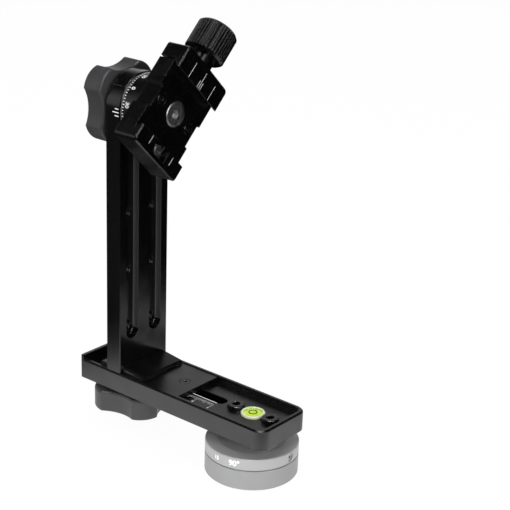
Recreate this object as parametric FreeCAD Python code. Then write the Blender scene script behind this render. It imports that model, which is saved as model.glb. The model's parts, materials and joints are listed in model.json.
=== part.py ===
import FreeCAD, Part
import math
import os

# Panoramic head: a pan rotator carries a tray-like lower rail, an upright slides along the rail, and
# a tilting dial on the upright's head carries a dovetail clamp. All sizes are in millimetres.
# The origin is the centre of the rotator's underside. +X runs along the rail to its short end, +Z is up.

vec = FreeCAD.Vector

# --- pan rotator
rotator_radius = 23.0
housing_height = 10.3
ring_height = 6.0
ring_gap = 0.25
boss_half_length = 14.2
boss_half_width = 8.5
boss_height = 5.45
post_radius = 6.5
post_height = 15.0
tripod_thread_radius = 3.97
tripod_insert_wall = 0.9
tripod_insert_length = 8.5
thrust_washer_inner_radius = 7.2
thrust_washer_outer_radius = 13.6
thrust_washer_thickness = 2.0
rotor_flange_height = 4.0
rotor_flange_lip = 2.0
rotor_rim_margin = 6.7
detent_count = 24
detent_ball_radius = 1.25
detent_seat_radius = 0.95
detent_seat_depth = 0.5
plunger_radius = 2.2
plunger_length = 4.6
plunger_cap = 1.4
plunger_wall = 0.5
spring_wire = 0.3
spring_turns = 3
plunger_angle = 3.5
pan_cap_radius = 7.2
pan_cap_thickness = 1.5
pan_screw_length = 4.0

# --- lower rail
rail_length = 121.4
rail_front_reach = 20.0
rail_width = 35.0
rail_height = 10.5
rail_wall = 2.1
rail_corner_radius = 5.6
rail_rear_corner_radius = 1.0
channel_rear_corner_radius = 1.2
rear_wall_rise = 2.3
rear_wall_chamfer = 0.4
rail_rim_chamfer = 0.8
rail_foot_chamfer = 0.3
channel_depth = 3.1
ledge_depth = 1.95
ledge_width = 2.1
slot_width = 7.0
slot_front_x = -17.2
slot_rear_margin = 4.0
relief_width = 16.4
relief_depth = 3.0
relief_front_margin = 8.8
relief_corner_radius = 3.0
rail_screw_spacing = 21.4
rail_screw_pocket_radius = 4.5
rail_screw_rise = 1.9
level_radius = 6.0
level_depth = 4.8
level_rise = 1.1
level_wall = 1.2
level_lens_thickness = 1.2
bubble_radius = 1.9

# --- carriage: foot and upright
foot_heel = 6.3
foot_toe = 37.5
foot_top_drop = 0.4
foot_block_length = 13.2
foot_block_width = 30.2
foot_block_rise = 3.3
foot_block_front_rise = 1.7
foot_block_rear_rise = 1.5
foot_block_bevel = 1.0
foot_corner_radius = 1.0
foot_step_radius = 1.2
upright_set_back = 23.4
upright_side_inset = 0.3
upright_thickness = 9.4
upright_edge_chamfer = 0.4
tilt_axis_above_rail = 147.0
groove_width = 8.8
groove_depth = 3.8
groove_offset = 8.2
groove_bottom_rise = 17.0
groove_top_gap = 0.8
accessory_hole_radius = 2.55
accessory_pitch = 30.0
accessory_first_rise = 23.3
accessory_rows = 3
upright_screw_spacing = 17.0
upright_screw_length = 12.0
stud_grip = 12.0
key_set_back = 8.6
key_length = 9.0
key_height = 4.2
key_screw_length = 6.0

# --- star knobs
knob_lobe_radius = 21.8
knob_waist_radius = 16.3
knob_lobe_angle = 37.0
knob_lobes = 4
knob_thickness = 11.3
knob_edge = 1.2
knob_hub_radius = 7.4
insert_radius = 5.4
insert_length = 8.0
lower_knob_turn = -35.0
upper_knob_turn = 48.0
lower_knob_gap = 1.9
knob_washer_thickness = 1.4
knob_washer_radius = 7.9

# --- tilting head
rest_tilt = -45.0
dial_length = 10.2
dial_step = 0.5
spigot_radius = 6.0
friction_washer_thickness = 1.0
friction_washer_radius = 13.0
rear_washer_radius = 9.0
rear_washer_thickness = 2.6
upper_knob_gap = 2.0
head_bolt_sink = 0.2

# --- dovetail clamp
clamp_length = 38.6
clamp_floor_thickness = 9.5
jaw_rise = 4.1
jaw_lip = 1.0
dovetail_depth = 2.6
jaw_root = 0.5
clamp_opening = 32.9
clamp_centre_shift = -0.8
fixed_jaw_width = 8.8
moving_jaw_width = 12.0
jaw_corner_radius = 2.2
jaw_edge_chamfer = 0.6
moving_jaw_start = 19.4
jaw_close_travel = 1.0
jaw_open_travel = 7.0
side_notch_half_width = 6.2
side_notch_centre = -1.0
side_notch_depth = 1.8
fixed_jaw_pocket_width = 11.0
fixed_jaw_pocket_reach = 6.2
fixed_jaw_pocket_depth = 0.4
stop_screw_length = 5.0
guide_pin_radius = 2.0
guide_pin_spacing = 25.0
guide_pin_end = 5.0
guide_pin_cover = 1.2
lead_screw_end = 7.5
lead_screw_drop = 4.1
dial_screw_spacing = 26.0
dial_screw_grip = 6.0
jaw_knob_radius = 10.5
jaw_knob_length = 16.4
jaw_knob_start = 33.2
jaw_knob_flutes = 40
jaw_knob_flute_depth = 0.35
jaw_knob_edge = 1.3
collar_radius = 6.6
collar_gap = 0.15
retaining_clip_radius = 4.6
retaining_clip_thickness = 0.8
retaining_clip_groove = 0.6

# --- fits
running_fit = 0.05
thread_fit = 0.03
slide_fit = 0.1
clear_gap = 0.2

# --- screws
m3_radius = 1.5
m3_cap_head_radius = 2.75
m3_cap_head_height = 3.0
m3_sunk_head_radius = 2.9
m3_sunk_head_height = 1.6
m3_key = 2.0
m4_radius = 2.0
m5_radius = 2.5
m5_cap_head_radius = 4.25
m5_cap_head_height = 5.0
m5_key = 4.0
m6_radius = 3.0
m6_sunk_head_radius = 6.4
m6_sunk_head_height = 3.4
m6_key = 4.0

# shank radius, head radius, head height and key size of each screw
m3_cap = (m3_radius, m3_cap_head_radius, m3_cap_head_height, m3_key)
m5_cap = (m5_radius, m5_cap_head_radius, m5_cap_head_height, m5_key)
m3_sunk = (m3_radius, m3_sunk_head_radius, m3_sunk_head_height, m3_key)
m6_sunk = (m6_radius, m6_sunk_head_radius, m6_sunk_head_height, m6_key)

# --- places that follow from the sizes above
half_rail = rail_width / 2
half_upright = half_rail - upright_side_inset
dial_radius = half_upright - dial_step
rotor_flange_radius = rotator_radius - rotor_rim_margin
rotor_bottom_z = housing_height + 0.1
ring_bottom_z = housing_height + ring_gap
ring_top_z = ring_bottom_z + ring_height
rail_bottom_z = ring_top_z + boss_height
rail_top_z = rail_bottom_z + rail_height
rail_front_x = rail_front_reach
rail_rear_x = rail_front_reach - rail_length
slot_rear_x = rail_rear_x + slot_rear_margin
relief_front_x = slot_front_x - relief_front_margin
floor_z = rail_top_z - channel_depth
ledge_z = rail_top_z - ledge_depth
relief_z = rail_bottom_z + relief_depth
tilt_z = rail_bottom_z + tilt_axis_above_rail
foot_top_z = rail_top_z - foot_top_drop
foot_bottom_z = floor_z + slide_fit
upright_bottom_z = rail_top_z + 0.3
upright_x = rail_rear_x + upright_set_back
upright_front_x = upright_x + upright_thickness / 2
upright_rear_x = upright_x - upright_thickness / 2
foot_rear_x = upright_rear_x - foot_heel
foot_front_x = upright_front_x + foot_toe
foot_block_front_x = upright_front_x + foot_block_length
key_x = foot_front_x - key_set_back
dial_rear_x = upright_front_x + clear_gap
clamp_back_x = dial_rear_x + dial_length
clamp_floor_x = clamp_back_x + clamp_floor_thickness
jaw_top_x = clamp_floor_x + jaw_rise
fixed_lip = clamp_centre_shift - clamp_opening / 2
moving_lip = clamp_centre_shift + clamp_opening / 2
fixed_end = fixed_lip - fixed_jaw_width
moving_end = moving_lip + moving_jaw_width
base_end = moving_jaw_start - jaw_close_travel - 0.1
lead_screw_x = clamp_floor_x - lead_screw_drop


# --- helpers
def box(x0, x1, y0, y1, z0, z1):
    return Part.makeBox(x1 - x0, y1 - y0, z1 - z0, vec(x0, y0, z0))


def rod(radius, z0, z1, x=0.0, y=0.0):
    return Part.makeCylinder(radius, z1 - z0, vec(x, y, z0))


def rod_x(radius, x0, x1, y=0.0, z=0.0):
    return Part.makeCylinder(radius, x1 - x0, vec(x0, y, z), vec(1, 0, 0))


def tube(inner, outer, z0, z1, x=0.0, y=0.0):
    return rod(outer, z0, z1, x, y).cut(rod(inner, z0 - 1, z1 + 1, x, y))


def tube_x(inner, outer, x0, x1, z=0.0):
    return rod_x(outer, x0, x1, 0, z).cut(rod_x(inner, x0 - 1, x1 + 1, 0, z))


def cone(radius0, radius1, z0, z1, x=0.0, y=0.0):
    return Part.makeCone(radius0, radius1, z1 - z0, vec(x, y, z0))


def extrude(points, start, run):
    wire = Part.makePolygon([start + p for p in points] + [start + points[0]])
    return Part.Face(wire).extrude(run)


def rounded_slab(x0, x1, y0, y1, z0, z1, rear_radius, front_radius):
    """Slab with rounded vertical edges, one radius at its -X end and one at its +X end."""
    slab = box(x0, x1, y0, y1, z0, z1)
    standing = [e for e in slab.Edges if abs(e.Vertexes[0].Z - e.Vertexes[1].Z) > 1e-6]
    rear = [e for e in standing if e.Vertexes[0].X < (x0 + x1) / 2]
    slab = slab.makeFillet(rear_radius, rear)
    standing = [e for e in slab.Edges if len(e.Vertexes) == 2 and e.Vertexes[0].X > (x0 + x1) / 2
                and abs(e.Vertexes[0].Z - e.Vertexes[1].Z) > 1e-6]
    return slab.makeFillet(front_radius, standing)


def slot_cutter(x0, x1, width, z0, z1, y=0.0):
    half = width / 2
    middle = box(x0 + half, x1 - half, y - half, y + half, z0, z1)
    return middle.fuse([rod(half, z0, z1, x0 + half, y), rod(half, z0, z1, x1 - half, y)]).removeSplitter()


def hexagon_pocket(across_flats, z0, z1):
    corner = across_flats / math.sqrt(3)
    points = [vec(corner * math.cos(math.radians(60 * i)), corner * math.sin(math.radians(60 * i)), 0)
              for i in range(6)]
    return extrude(points, vec(0, 0, z0), vec(0, 0, z1 - z0))


def chamfered_disc(radius, z0, z1, bottom, top):
    profile = [vec(0, 0, z0), vec(radius - bottom, 0, z0), vec(radius, 0, z0 + bottom),
               vec(radius, 0, z1 - top), vec(radius - top, 0, z1), vec(0, 0, z1)]
    wire = Part.makePolygon(profile + [profile[0]])
    return Part.Face(wire).revolve(vec(0, 0, 0), vec(0, 0, 1), 360)


def edges_on(shape, test):
    return [e for e in shape.Edges if all(test(v.Point) for v in e.Vertexes) and test(e.CenterOfMass)]


def moved(shape, x, y, z):
    copy = shape.copy()
    copy.translate(vec(x, y, z))
    return copy


def facing_x(shape):
    """Turns a piece built along +Z so that it points along +X."""
    copy = shape.copy()
    copy.rotate(vec(0, 0, 0), vec(0, 1, 0), 90)
    return copy


def on_head(shape):
    """Turns a piece built with the head level, axis through the origin's height, to its place at rest."""
    copy = shape.copy()
    copy.rotate(vec(0, 0, 0), vec(1, 0, 0), rest_tilt)
    copy.translate(vec(0, 0, tilt_z))
    return copy


def cap_screw(screw, length):
    """Socket cap screw: seat at z = 0, head above, shank below."""
    radius, head_radius, head_height, key = screw
    body = chamfered_disc(head_radius, 0, head_height, 0.01, 0.3).fuse(rod(radius, -length, 0))
    return body.cut(hexagon_pocket(key, head_height * 0.45, head_height + 1))


def sunk_screw(screw, length):
    """Countersunk socket screw: head's flat top at z = 0, everything else below."""
    radius, head_radius, head_height, key = screw
    body = cone(radius, head_radius, -head_height, 0).fuse(rod(radius, -length, -head_height))
    return body.cut(hexagon_pocket(key, -head_height * 0.75, 1))


def sunk_seat(screw, depth):
    """What a countersunk screw's seat and hole cut away: head room above z = 0, hole below it to depth."""
    radius, head_radius, head_height, _ = screw
    fit = running_fit
    seat = cone(radius + fit, head_radius + fit, -head_height, 0)
    return seat.fuse([rod(head_radius + fit, 0, head_height * 2), rod(radius + fit, -depth, -head_height)])


def single(shape):
    """The one solid that a shape is made of, with seam faces merged."""
    merged = shape.removeSplitter()
    solids = merged.Solids
    return solids[0] if len(solids) == 1 else Part.makeCompound(solids)


# --- pan rotator
def tripod_insert():
    outer = tripod_thread_radius + tripod_insert_wall
    return tube(tripod_thread_radius, outer, 0, tripod_insert_length)


def washer_floor_z():
    return rotor_bottom_z - thrust_washer_thickness - running_fit


def rotator_housing():
    body = chamfered_disc(rotator_radius, 0, housing_height, 0.5, 0.3)
    body = body.fuse(rod(post_radius, housing_height - 1, post_height))
    well = tube(post_radius, thrust_washer_outer_radius + clear_gap, washer_floor_z(), post_height)
    body = body.cut(well)
    insert_bore = tripod_thread_radius + tripod_insert_wall
    body = body.cut(rod(insert_bore, -1, tripod_insert_length))
    return body.cut(rod(m4_radius, post_height - pan_screw_length - 0.6, post_height + 1))


def thrust_washer():
    low = washer_floor_z() + 0.02
    return tube(thrust_washer_inner_radius, thrust_washer_outer_radius, low, low + thrust_washer_thickness)


def detent_centre_radius():
    """The ball stands just clear of the rotor's rim, with the plunger backed off."""
    return rotor_flange_radius + detent_ball_radius + running_fit


def detent_height():
    return (ring_bottom_z + ring_top_z) / 2


def detent_seat(index):
    """Drilled seat in the rotor's rim for the detent ball."""
    floor = rotor_flange_radius - detent_seat_depth
    seat = rod_x(detent_seat_radius, floor, rotator_radius, 0, detent_height())
    seat.rotate(vec(0, 0, 0), vec(0, 0, 1), plunger_angle + index * 360.0 / detent_count)
    return seat


def rotor():
    flange = rotor_flange_radius
    body = rod(flange - rotor_flange_lip, rotor_bottom_z, ring_top_z - rotor_flange_height)
    boss = slot_cutter(-boss_half_length, boss_half_length, 2 * boss_half_width, ring_top_z - 1,
                       rail_bottom_z)
    body = body.fuse([chamfered_disc(flange, ring_top_z - rotor_flange_height, ring_top_z, 0.01, 0.25), boss])
    body = body.cut(rod(post_radius + running_fit, 0, rail_bottom_z + 1))
    body = body.cut(rod(pan_cap_radius + clear_gap, post_height - 0.05, rail_bottom_z + 1))
    for side in (-1, 1):
        body = body.cut(rod(m5_radius + thread_fit, rotor_bottom_z + 1.2, rail_bottom_z + 1,
                            side * rail_screw_spacing / 2))
    seats = [detent_seat(i) for i in range(detent_count)]
    return single(body.cut(Part.makeCompound(seats)))


def select_ring():
    flange = rotor_flange_radius
    body = chamfered_disc(rotator_radius, ring_bottom_z, ring_top_z, 0.3, 0.4)
    body = body.cut(rod(flange - rotor_flange_lip + running_fit, 0, ring_top_z + 1))
    seat_z = ring_top_z - rotor_flange_height - running_fit
    body = body.cut(rod(flange + running_fit, seat_z, ring_top_z + 1))
    bore = rod_x(plunger_radius, flange - 1, rotator_radius + 1, 0, detent_height())
    bore.rotate(vec(0, 0, 0), vec(0, 0, 1), plunger_angle)
    return body.cut(bore)


def on_plunger(shape):
    copy = shape.copy()
    copy.rotate(vec(0, 0, 0), vec(0, 0, 1), plunger_angle)
    return copy


def plunger_body():
    outer_end = rotator_radius - 0.5
    height = detent_height()
    inner_end = outer_end - plunger_length
    shell = rod_x(plunger_radius, inner_end, outer_end, 0, height)
    bore = rod_x(plunger_radius - plunger_wall, inner_end - 1, outer_end - plunger_cap, 0, height)
    socket = moved(facing_x(hexagon_pocket(1.5, -0.9, 1)), outer_end, 0, height)
    return on_plunger(shell.cut(bore).cut(socket))


def plunger_ball():
    return on_plunger(Part.makeSphere(detent_ball_radius, vec(detent_centre_radius(), 0, detent_height())))


def plunger_spring():
    """Flat-wire coil between the ball and the plunger's closed end."""
    start = detent_centre_radius() + detent_ball_radius + 0.05
    end = rotator_radius - 0.5 - plunger_cap - 0.05
    outer = plunger_radius - plunger_wall - 0.1
    reach = end - start - spring_wire
    helix = Part.makeHelix(reach / spring_turns, reach, outer - spring_wire / 2)
    corners = [vec(outer - spring_wire, 0, -spring_wire / 2), vec(outer, 0, -spring_wire / 2),
               vec(outer, 0, spring_wire / 2), vec(outer - spring_wire, 0, spring_wire / 2)]
    section = Part.makePolygon(corners + [corners[0]])
    spring = Part.Wire(helix).makePipeShell([section], True, True)
    return on_plunger(moved(facing_x(spring), start + spring_wire / 2, 0, detent_height()))


def pan_cap():
    return tube(m4_radius + clear_gap, pan_cap_radius, post_height, post_height + pan_cap_thickness)


def pan_screw():
    screw = low_head_screw(m4_radius, pan_cap_thickness + pan_screw_length)
    return moved(screw, 0, 0, post_height + pan_cap_thickness)


def low_head_screw(radius, length):
    """Low-head cap screw: seat at z = 0."""
    screw = chamfered_disc(radius * 1.75, 0, radius * 1.3, 0.01, 0.3).fuse(rod(radius, -length, 0))
    return screw.cut(hexagon_pocket(radius * 1.25, radius * 0.5, radius * 2))


# --- lower rail
def rail_slab(top_z):
    return rounded_slab(rail_rear_x, rail_front_x, -half_rail, half_rail, rail_bottom_z, top_z,
                        rail_rear_corner_radius, rail_corner_radius)


def rail_block():
    slab = rail_slab(rail_top_z)
    rim = edges_on(slab, lambda p: abs(p.z - rail_top_z) < 1e-4)
    slab = slab.makeChamfer(rail_rim_chamfer, rim)
    foot_edge = edges_on(slab, lambda p: abs(p.z - rail_bottom_z) < 1e-4)
    return slab.makeChamfer(rail_foot_chamfer, foot_edge)


def rear_wall():
    """The rail's rear end wall above its side walls, which stops the foot."""
    top_z = rail_top_z + rear_wall_rise
    tall = rail_slab(top_z)
    tall = tall.makeChamfer(rear_wall_chamfer, edges_on(tall, lambda p: abs(p.z - top_z) < 1e-4))
    return tall.common(box(rail_rear_x - 1, rail_rear_x + rail_wall, -rail_width, rail_width,
                           rail_top_z - rail_rim_chamfer, top_z + 1))


def rail_channel():
    inner = half_rail - rail_wall
    rear_x = rail_rear_x + rail_wall
    front_x = rail_front_x - rail_wall
    corner = rail_corner_radius - rail_wall
    rear_corner = channel_rear_corner_radius
    upper = rounded_slab(rear_x, front_x, -inner, inner, ledge_z, rail_top_z + 1, rear_corner, corner)
    low = inner - ledge_width
    lower = rounded_slab(rear_x, front_x, -low, low, floor_z, rail_top_z + 1, rear_corner, corner)
    return upper.fuse(lower)


def rail_screw_seat_z():
    return floor_z + rail_screw_rise - m5_cap_head_height


def screw_pocket(side):
    x = side * rail_screw_spacing / 2
    return rod(rail_screw_pocket_radius, rail_screw_seat_z(), rail_top_z, x).fuse(
        rod(m5_radius + clear_gap, rail_bottom_z - 1, rail_top_z, x))


def lower_rail():
    body = rail_block().fuse(rear_wall()).removeSplitter().cut(rail_channel())
    body = body.cut(slot_cutter(slot_rear_x, slot_front_x, slot_width, rail_bottom_z - 1, rail_top_z))
    half = relief_width / 2
    relief_rear_x = slot_rear_x - (relief_width - slot_width) / 8
    relief = rounded_slab(relief_rear_x, relief_front_x, -half, half, rail_bottom_z - 1, relief_z,
                          relief_corner_radius, relief_corner_radius)
    body = body.cut(relief)
    body = body.cut([screw_pocket(-1), screw_pocket(1)])
    body = body.cut(rod(level_radius + running_fit, floor_z - level_depth, rail_top_z))
    return single(body)


def rail_screws():
    seat = rail_screw_seat_z()
    length = seat - rotor_bottom_z - 2.4
    return [moved(cap_screw(m5_cap, length), side * rail_screw_spacing / 2, 0, seat) for side in (-1, 1)]


def level_cup():
    bottom = floor_z - level_depth
    cup = chamfered_disc(level_radius, bottom, floor_z + level_rise, 0.01, 0.35)
    cup = cup.cut(rod(level_radius - level_wall, bottom + level_wall, floor_z + level_rise + 1))
    return cup


def level_fluid():
    bottom = floor_z - level_depth + level_wall + 0.02
    top = floor_z + level_rise - level_lens_thickness - 0.02
    fluid = rod(level_radius - level_wall - 0.02, bottom, top)
    return fluid.cut(moved(bubble_shape(0.05), 0, 0, top))


def bubble_shape(extra):
    """A flattened bubble, its flat top at z = 0."""
    ball = Part.makeSphere(bubble_radius + extra)
    low = ball.common(box(-9, 9, -9, 9, -9, 0))
    squeeze = FreeCAD.Matrix()
    squeeze.scale(1, 1, 0.5)
    return low.transformGeometry(squeeze)


def level_lens():
    bottom = floor_z + level_rise - level_lens_thickness
    return rod(level_radius - level_wall - 0.02, bottom, floor_z + level_rise - 0.15)


# --- carriage
def foot_plate():
    wide = half_rail - rail_wall - slide_fit
    narrow = wide - ledge_width
    flange = rounded_slab(foot_rear_x, foot_front_x, -wide, wide, ledge_z + slide_fit, foot_top_z,
                          foot_corner_radius, foot_corner_radius)
    tongue = rounded_slab(foot_rear_x, foot_front_x, -narrow, narrow, foot_bottom_z, ledge_z + slide_fit,
                          foot_corner_radius, foot_corner_radius)
    return flange.fuse(tongue)


def bevelled_block(points):
    """Extrudes a side profile across the foot and bevels its two long top edges."""
    half = foot_block_width / 2
    block = extrude(points, vec(0, -half, 0), vec(0, foot_block_width, 0))
    low = min(p.z for p in points) + 0.1
    long_edges = [e for e in block.Edges if abs(e.Vertexes[0].Y - e.Vertexes[1].Y) < 1e-6
                  and abs(e.Vertexes[0].X - e.Vertexes[1].X) > 3 and e.CenterOfMass.z > low]
    return block.makeChamfer(foot_block_bevel, long_edges)


def foot_block():
    """The raised block that the upright stands in; its front part slopes down from the upright."""
    across = half_rail - rail_wall - slide_fit
    lift = upright_bottom_z
    low = box(foot_rear_x, foot_block_front_x, -across, across, foot_top_z - 0.5, lift)
    high = rail_top_z + foot_block_rise
    front_high = rail_top_z + foot_block_front_rise
    front = bevelled_block([vec(upright_front_x, 0, lift), vec(upright_front_x, 0, high),
                            vec(foot_block_front_x, 0, front_high), vec(foot_block_front_x, 0, lift)])
    rear_top = rail_top_z + foot_block_rear_rise
    rear = bevelled_block([vec(foot_rear_x, 0, lift), vec(foot_rear_x, 0, rear_top),
                           vec(upright_rear_x, 0, rear_top), vec(upright_rear_x, 0, lift)])
    return low.fuse([front, rear])


def foot():
    body = foot_plate().fuse(foot_block()).removeSplitter()
    step = edges_on(body, lambda p: abs(p.x - foot_block_front_x) < 1e-4 and abs(p.z - foot_top_z) < 1e-4)
    body = body.makeFillet(foot_step_radius, step)
    body = body.cut(rod(m6_radius + clear_gap, foot_bottom_z - 1, upright_bottom_z + 1, upright_x))
    for side in (-1, 1):
        seat = sunk_seat(m3_sunk, upright_screw_length)
        seat.rotate(vec(0, 0, 0), vec(1, 0, 0), 180)
        body = body.cut(moved(seat, upright_x, side * upright_screw_spacing / 2, upright_screw_z()))
    key_seat = sunk_seat(m3_sunk, foot_top_z - foot_bottom_z)
    return single(body.cut(moved(key_seat, key_x, 0, foot_top_z - 0.1)))


def upright_screw_z():
    """Height of the upright screws' head faces; the head clears the rail's floor and sinks in the foot."""
    return foot_bottom_z + 0.1


def upright_screws():
    pieces = []
    for side in (-1, 1):
        screw = sunk_screw(m3_sunk, upright_screw_length)
        screw.rotate(vec(0, 0, 0), vec(1, 0, 0), 180)
        pieces.append(moved(screw, upright_x, side * upright_screw_spacing / 2, upright_screw_z()))
    return pieces


def guide_key():
    half = key_length / 2
    top = foot_bottom_z
    key = slot_cutter(key_x - half, key_x + half, slot_width - 2 * slide_fit, top - key_height, top)
    return key.cut(rod(m3_radius + thread_fit, top - key_height - 1, top + 1, key_x))


def key_screw():
    return moved(sunk_screw(m3_sunk, key_screw_length), key_x, 0, foot_top_z - 0.1)


def upright_blank():
    half = half_upright
    rear = upright_rear_x
    z0 = upright_bottom_z
    straight = Part.makePolygon([vec(rear, half, tilt_z), vec(rear, half, z0), vec(rear, -half, z0),
                                 vec(rear, -half, tilt_z)])
    crown = vec(rear, 0, tilt_z + half)
    head = Part.Arc(vec(rear, -half, tilt_z), crown, vec(rear, half, tilt_z)).toShape()
    outline = Part.Wire(straight.Edges + [head])
    blank = Part.Face(outline).extrude(vec(upright_thickness, 0, 0))
    ends = (upright_rear_x, upright_front_x)
    rims = edges_on(blank, lambda p: min(abs(p.x - e) for e in ends) < 1e-4 and p.z > z0 + 1e-3)
    sides = [e for e in rims if e.Length > upright_thickness * 2]
    return blank.makeChamfer(upright_edge_chamfer, sides)


def groove(side):
    """One blind groove down the upright's front, round at both ends."""
    top = tilt_z - half_upright - groove_top_gap
    cutter = slot_cutter(upright_bottom_z + groove_bottom_rise, top, groove_width, 0, groove_depth + 1)
    cutter.rotate(vec(0, 0, 0), vec(0, 1, 0), -90)
    return moved(cutter, upright_front_x + 1, side * groove_offset, 0)


def accessory_holes():
    holes = []
    for side in (-1, 1):
        for row in range(accessory_rows):
            z = upright_bottom_z + accessory_first_rise + row * accessory_pitch
            holes.append(rod_x(accessory_hole_radius, upright_rear_x - 1, upright_front_x + 1,
                               side * groove_offset, z))
    return holes


def upright():
    body = upright_blank().cut([groove(-1), groove(1)] + accessory_holes())
    body = body.cut(rod_x(spigot_radius + running_fit, upright_rear_x - 1, upright_front_x + 1, 0, tilt_z))
    front_seat = friction_washer_rear() - 0.02
    front_recess = rod_x(friction_washer_radius + clear_gap, front_seat, upright_front_x + 1, 0, tilt_z)
    rear_seat = rear_washer_front() + 0.02
    rear_recess = rod_x(rear_washer_radius + clear_gap, upright_rear_x - 1, rear_seat, 0, tilt_z)
    body = body.cut([front_recess, rear_recess])
    stud_hole_top = upright_bottom_z + stud_grip
    body = body.cut(rod(m6_radius + thread_fit, upright_bottom_z - 1, stud_hole_top, upright_x))
    for side in (-1, 1):
        tip = upright_screw_z() + upright_screw_length + clear_gap
        body = body.cut(rod(m3_radius + thread_fit, upright_bottom_z - 1, tip, upright_x,
                            side * upright_screw_spacing / 2))
    return single(body)


# --- star knobs
def star_outline():
    """Four convex lobes joined by concave scallops, as one closed wire about the origin."""
    edges = []
    step = 360.0 / knob_lobes
    corner = knob_lobe_radius - 0.9

    def at(radius, degrees):
        return vec(radius * math.cos(math.radians(degrees)), radius * math.sin(math.radians(degrees)), 0)

    for lobe in range(knob_lobes):
        centre = lobe * step
        start = centre - knob_lobe_angle / 2
        end = centre + knob_lobe_angle / 2
        following = centre + step - knob_lobe_angle / 2
        edges.append(Part.Arc(at(corner, start), at(knob_lobe_radius, centre), at(corner, end)).toShape())
        valley = at(knob_waist_radius, centre + step / 2)
        edges.append(Part.Arc(at(corner, end), valley, at(corner, following)).toShape())
    return Part.Wire(edges)


def star_knob(turn):
    """Knob along +Z: hub face at z = 0, back face at knob_thickness, and a blind seat for its insert."""
    body = Part.Face(star_outline()).extrude(vec(0, 0, knob_thickness))
    rims = edges_on(body, lambda p: min(abs(p.z), abs(p.z - knob_thickness)) < 1e-4)
    body = body.makeFillet(knob_edge, rims)
    dish = knob_waist_radius - 3.0
    body = body.cut(cone(dish - 1.5, dish, knob_thickness - 1.5, knob_thickness))
    body = body.cut(rod(insert_radius, -1, insert_length))
    body.rotate(vec(0, 0, 0), vec(0, 0, 1), turn)
    return body


def knob_insert(bore):
    """Threaded bush with a flange-free knurled body, seated in the knob's hub."""
    return tube(bore, insert_radius - 0.01, 0, insert_length - 0.05)


def lower_knob_top():
    return rail_bottom_z - lower_knob_gap


def down_at_stud(shape):
    """Turns a piece built along +Z to hang down from the lower knob's top, on the stud's axis."""
    copy = shape.copy()
    copy.rotate(vec(0, 0, 0), vec(1, 0, 0), 180)
    return moved(copy, upright_x, 0, lower_knob_top())


def lower_knob():
    return down_at_stud(star_knob(-lower_knob_turn))


def lower_insert():
    return down_at_stud(knob_insert(m6_radius + running_fit))


def lower_washer():
    top = relief_z - clear_gap / 2
    sleeve_bottom = lower_knob_top() + 0.02
    washer = tube(m6_radius + clear_gap, knob_washer_radius, top - knob_washer_thickness, top, upright_x)
    return washer.fuse(tube(m6_radius + clear_gap, insert_radius, sleeve_bottom, top - 0.2, upright_x))


def clamp_stud():
    bottom = lower_knob_top() - insert_length + 0.6
    return rod(m6_radius, bottom, upright_bottom_z + stud_grip - 0.5, upright_x)


def upper_knob_face():
    return upright_rear_x - upper_knob_gap


def rear_washer_front():
    return upper_knob_face() + 0.02 + rear_washer_thickness


def friction_washer_rear():
    return dial_rear_x - 0.02 - friction_washer_thickness


def behind_head(shape):
    """Turns a piece built along +Z to point along -X from the upper knob's hub face, on the tilt axis."""
    copy = shape.copy()
    copy.rotate(vec(0, 0, 0), vec(0, 1, 0), -90)
    return moved(copy, upper_knob_face(), 0, tilt_z)


def upper_knob():
    return behind_head(star_knob(-upper_knob_turn))


def upper_insert():
    return behind_head(knob_insert(m6_radius + running_fit))


def upper_washer():
    front = rear_washer_front()
    return tube_x(m6_radius + clear_gap, rear_washer_radius, front - rear_washer_thickness, front, tilt_z)


# --- tilting head, built level and then turned to rest
def tilt_dial():
    length = clamp_back_x - dial_rear_x
    drum = moved(facing_x(chamfered_disc(dial_radius, 0, length, 0.35, 0.35)), dial_rear_x, 0, 0)
    spigot_end = rear_washer_front() + clear_gap
    body = drum.fuse(rod_x(spigot_radius, spigot_end, dial_rear_x + 1))
    body = body.cut(rod_x(m6_radius + running_fit, spigot_end - 1, clamp_back_x + 1))
    for side in (-1, 1):
        body = body.cut(rod_x(m3_radius + thread_fit, clamp_back_x - dial_screw_grip - 1, clamp_back_x + 1,
                              side * dial_screw_spacing / 2))
    return on_head(single(body))


def friction_washer():
    rear = friction_washer_rear()
    front = rear + friction_washer_thickness
    return tube_x(spigot_radius + clear_gap, friction_washer_radius, rear, front, tilt_z)


def head_bolt():
    tip = upper_knob_face() - insert_length + 0.8
    top = clamp_floor_x - head_bolt_sink
    bolt = facing_x(sunk_screw(m6_sunk, top - tip))
    return on_head(moved(bolt, top, 0, 0))


def jaw_section(lip, outward, outer):
    """Cross-section of a jaw in the X-Z plane: a lip with a 45-degree dovetail under it."""
    root = lip + outward * dovetail_depth
    return [vec(clamp_floor_x, 0, root), vec(clamp_floor_x + jaw_root, 0, root),
            vec(jaw_top_x - jaw_lip, 0, lip), vec(jaw_top_x, 0, lip),
            vec(jaw_top_x, 0, outer), vec(clamp_floor_x, 0, outer)]


def round_outer_corners(shape, end):
    half = clamp_length / 2
    corners = [e for e in shape.Edges if abs(e.Vertexes[0].X - e.Vertexes[-1].X) > 3
               and all(abs(v.Z - end) < 1e-4 and abs(abs(v.Y) - half) < 1e-4 for v in e.Vertexes)]
    return shape.makeFillet(jaw_corner_radius, corners)


def soften_jaw_top(shape, lip, end):
    rims = edges_on(shape, lambda p: abs(p.x - jaw_top_x) < 1e-4 and abs(p.z - lip) > 1e-3)
    return shape.makeChamfer(jaw_edge_chamfer, rims)


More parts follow.
